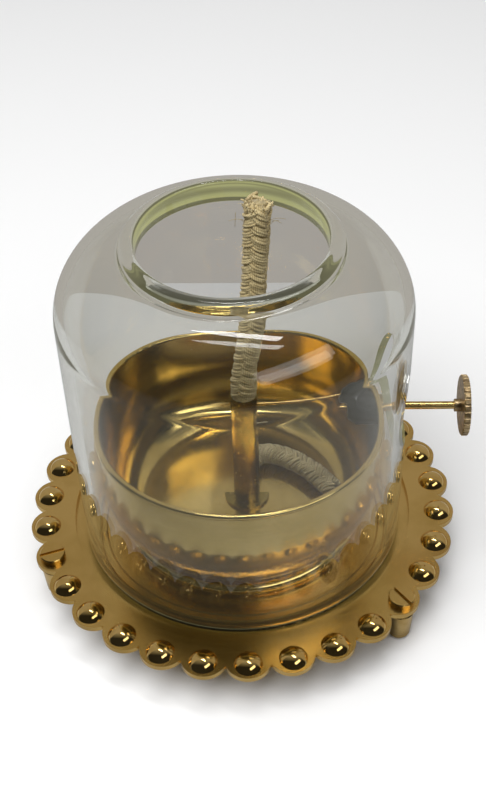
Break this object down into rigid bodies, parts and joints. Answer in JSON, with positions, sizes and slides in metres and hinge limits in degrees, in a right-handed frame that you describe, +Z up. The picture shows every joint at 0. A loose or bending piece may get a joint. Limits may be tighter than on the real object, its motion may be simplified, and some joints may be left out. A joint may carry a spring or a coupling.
{
  "type": "oil lamp",
  "caption": "Round brass oil lamp: beaded scalloped saucer on three feet, bowl with a wick tube and knob-driven wick raiser, under a clear glass dome with a round mouth and a side hole.",
  "frame": {"origin": "centre of the lamp's axis on the surface the feet stand on", "axes": "+Z up along the lamp's axis, +X along the wick spindle towards the knob"},
  "size_m": [0.1362, 0.1342, 0.132],
  "materials": {
    "satin_brass": "satin brushed brass",
    "polished_brass": "polished brass",
    "plain_brass": "turned brass",
    "aged_brass": "darkened brass",
    "black_rubber": "matte black rubber",
    "cotton": "braided cotton",
    "clear_glass": "clear borosilicate glass"
  },
  "bodies": {
    "lamp": {"base_plate": "satin_brass", "rim_beads": "polished_brass", "bowl": "polished_brass", "bowl_foot_ring": "polished_brass", "bowl_stud": "plain_brass", "bowl_washer": "plain_brass", "bowl_nut": "plain_brass", "wick_tube": "polished_brass", "wick_tube_foot": "polished_brass", "spindle_bracket": "plain_brass", "gland_nut": "plain_brass", "gland": "black_rubber", "wick_tail": "cotton", "foot_screw_front_right": "satin_brass", "foot_front_right": "plain_brass", "foot_screw_left": "satin_brass", "foot_left": "plain_brass", "foot_screw_back": "satin_brass", "foot_back": "plain_brass"},
    "regulator": {"spindle": "plain_brass", "feed_wheel": "plain_brass", "knob": "aged_brass", "knob_hub": "aged_brass"},
    "wick": {"wick": "cotton"},
    "chimney": {"glass_chimney": "clear_glass"}
  },
  "joints": [
    {"name": "knob_turn", "type": "hinge", "parent": "lamp", "child": "regulator", "pos_m": [0, 0.006, 0.0525], "axis": [-1, 0, 0], "range_deg": [-165, 165]},
    {"name": "wick_raise", "type": "slide", "parent": "lamp", "child": "wick", "axis": [0, 0, 1], "range_m": [-0.0065, 0.0065]},
    {"name": "chimney_turn", "type": "hinge", "parent": "lamp", "child": "chimney", "pos_m": [0, 0, 0], "axis": [0, 0, 1], "range_deg": [-2, 10]}
  ],
  "couplings": [
    {"joint": "knob_turn", "follows": "wick_raise", "rad_per_m": 434.78}
  ]
}
